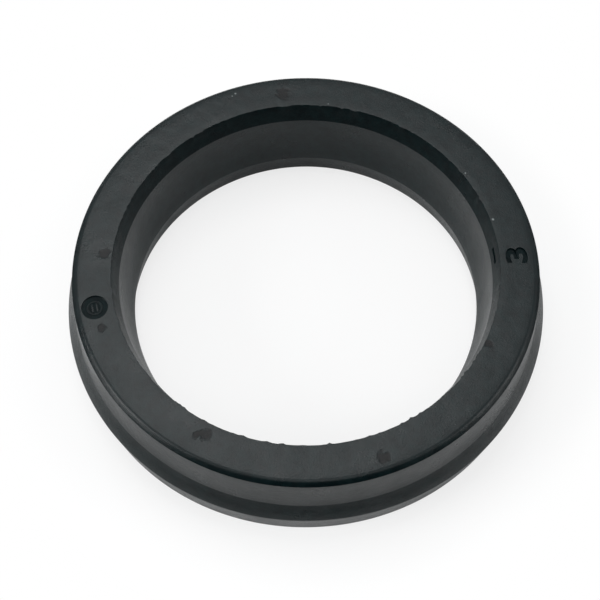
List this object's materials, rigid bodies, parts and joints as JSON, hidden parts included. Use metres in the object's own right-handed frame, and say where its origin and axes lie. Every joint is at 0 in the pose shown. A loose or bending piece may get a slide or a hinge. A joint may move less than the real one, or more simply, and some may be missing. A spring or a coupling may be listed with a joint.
{
  "type": "u cup seal",
  "caption": "One-piece black rubber U cup seal: flat heel, two flared bevelled lips and an annular pressure groove between them.",
  "frame": {"origin": "on the ring's axis, in the plane of the lip tips that it stands on", "axes": "+Z along the axis, from the lip tips to the flat heel face; the round recess in the heel face is at 193 degrees about Z from +X"},
  "size_m": [0.053, 0.053, 0.011],
  "materials": {
    "rubber": "satin, moulded nitrile rubber"
  },
  "bodies": {
    "root": {"u_cup_seal": "rubber"}
  },
  "joints": []
}
